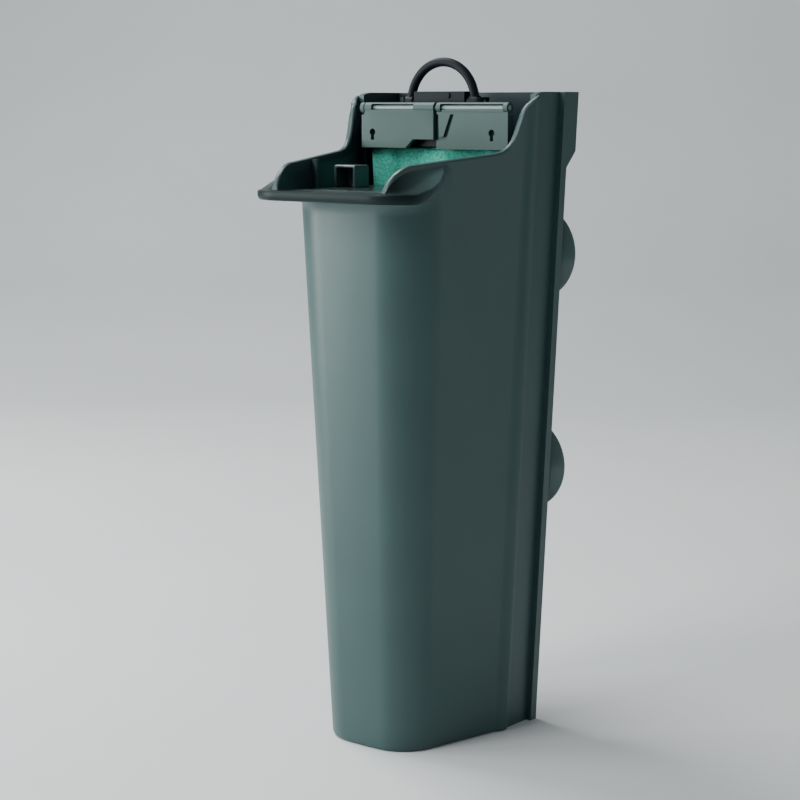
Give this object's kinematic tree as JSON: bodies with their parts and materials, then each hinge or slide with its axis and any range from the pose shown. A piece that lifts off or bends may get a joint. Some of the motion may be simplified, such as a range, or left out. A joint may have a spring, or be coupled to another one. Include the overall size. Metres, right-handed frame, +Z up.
{
  "type": "internal power filter",
  "caption": "Narrow tank-wall water filter with a wide pouring lip, lift-out foam cartridge with a bail handle, suction cups and an inner pump.",
  "frame": {"origin": "centre of the bounding box's underside, level with the housing's base", "axes": "+Z up, -Y towards the pouring lip, +Y towards the wall of the tank, +X to the right seen from the lip"},
  "size_m": [0.0732, 0.083, 0.2106],
  "materials": {
    "shell": "moulded, fine satin gloss, dark grey-green",
    "deck": "moulded, glossy dark grey-green",
    "hood": "moulded, satin grey",
    "cup": "translucent grey-green soft vinyl",
    "clip": "moulded, satin mid grey",
    "rod": "moulded, satin light grey",
    "handle": "moulded, satin black",
    "foam": "open-cell green filter foam",
    "fleece": "white needled fleece",
    "carbon": "black carbon-loaded pad",
    "pump_case": "moulded, satin near-black",
    "core": "stacked laminations, varnished",
    "bobbin": "moulded, natural white",
    "winding": "enamelled copper wire",
    "resin": "poured black resin",
    "seal": "black rubber",
    "shaft": "polished white ceramic",
    "magnet": "sintered ferrite",
    "wheel": "moulded, satin grey"
  },
  "bodies": {
    "housing": {"front_shell": "shell", "rear_shell": "shell", "spout_deck": "deck", "outlet_hood": "hood", "riser_tube": "pump_case", "partition": "deck", "suction_cup_1": "cup", "suction_cup_2": "cup", "suction_cup_3": "cup", "suction_cup_4": "cup", "pump_body": "pump_case", "stator_core": "core", "coil_bobbin": "bobbin", "coil_winding": "winding", "potting_cap": "resin", "impeller_cover": "pump_case", "cover_seal": "seal", "impeller_shaft": "shaft", "shaft_bush_outer": "seal", "shaft_bush_inner": "seal", "cable_gland": "seal", "pump_feet": "seal"},
    "impeller": {"rotor_magnet": "magnet", "impeller_wheel": "wheel"},
    "cartridge": {"cartridge_frame": "handle", "clip_plate": "clip", "clip_rod": "rod", "handle_base": "handle", "handle_pins": "rod", "filter_foam": "foam", "carbon_pad": "carbon", "filter_fleece": "fleece"},
    "flap": {"clip_flap": "clip"},
    "handle": {"bail_handle": "handle"}
  },
  "joints": [
    {"name": "cartridge_lift", "type": "slide", "parent": "housing", "child": "cartridge", "axis": [0, 0, 1], "range_m": [0, 0.16]},
    {"name": "handle_fold", "type": "hinge", "parent": "cartridge", "child": "handle", "pos_m": [0, 0.0173, 0.197], "axis": [1, 0, 0], "range_deg": [-85, 40]},
    {"name": "flap_hinge", "type": "hinge", "parent": "cartridge", "child": "flap", "pos_m": [0, 0.013, 0.1952], "axis": [-1, 0, 0], "range_deg": [0, 100]},
    {"name": "impeller_spin", "type": "hinge", "parent": "housing", "child": "impeller", "pos_m": [-0.01, -0.0015, 0.026], "axis": [1, 0, 0], "continuous": true}
  ]
}
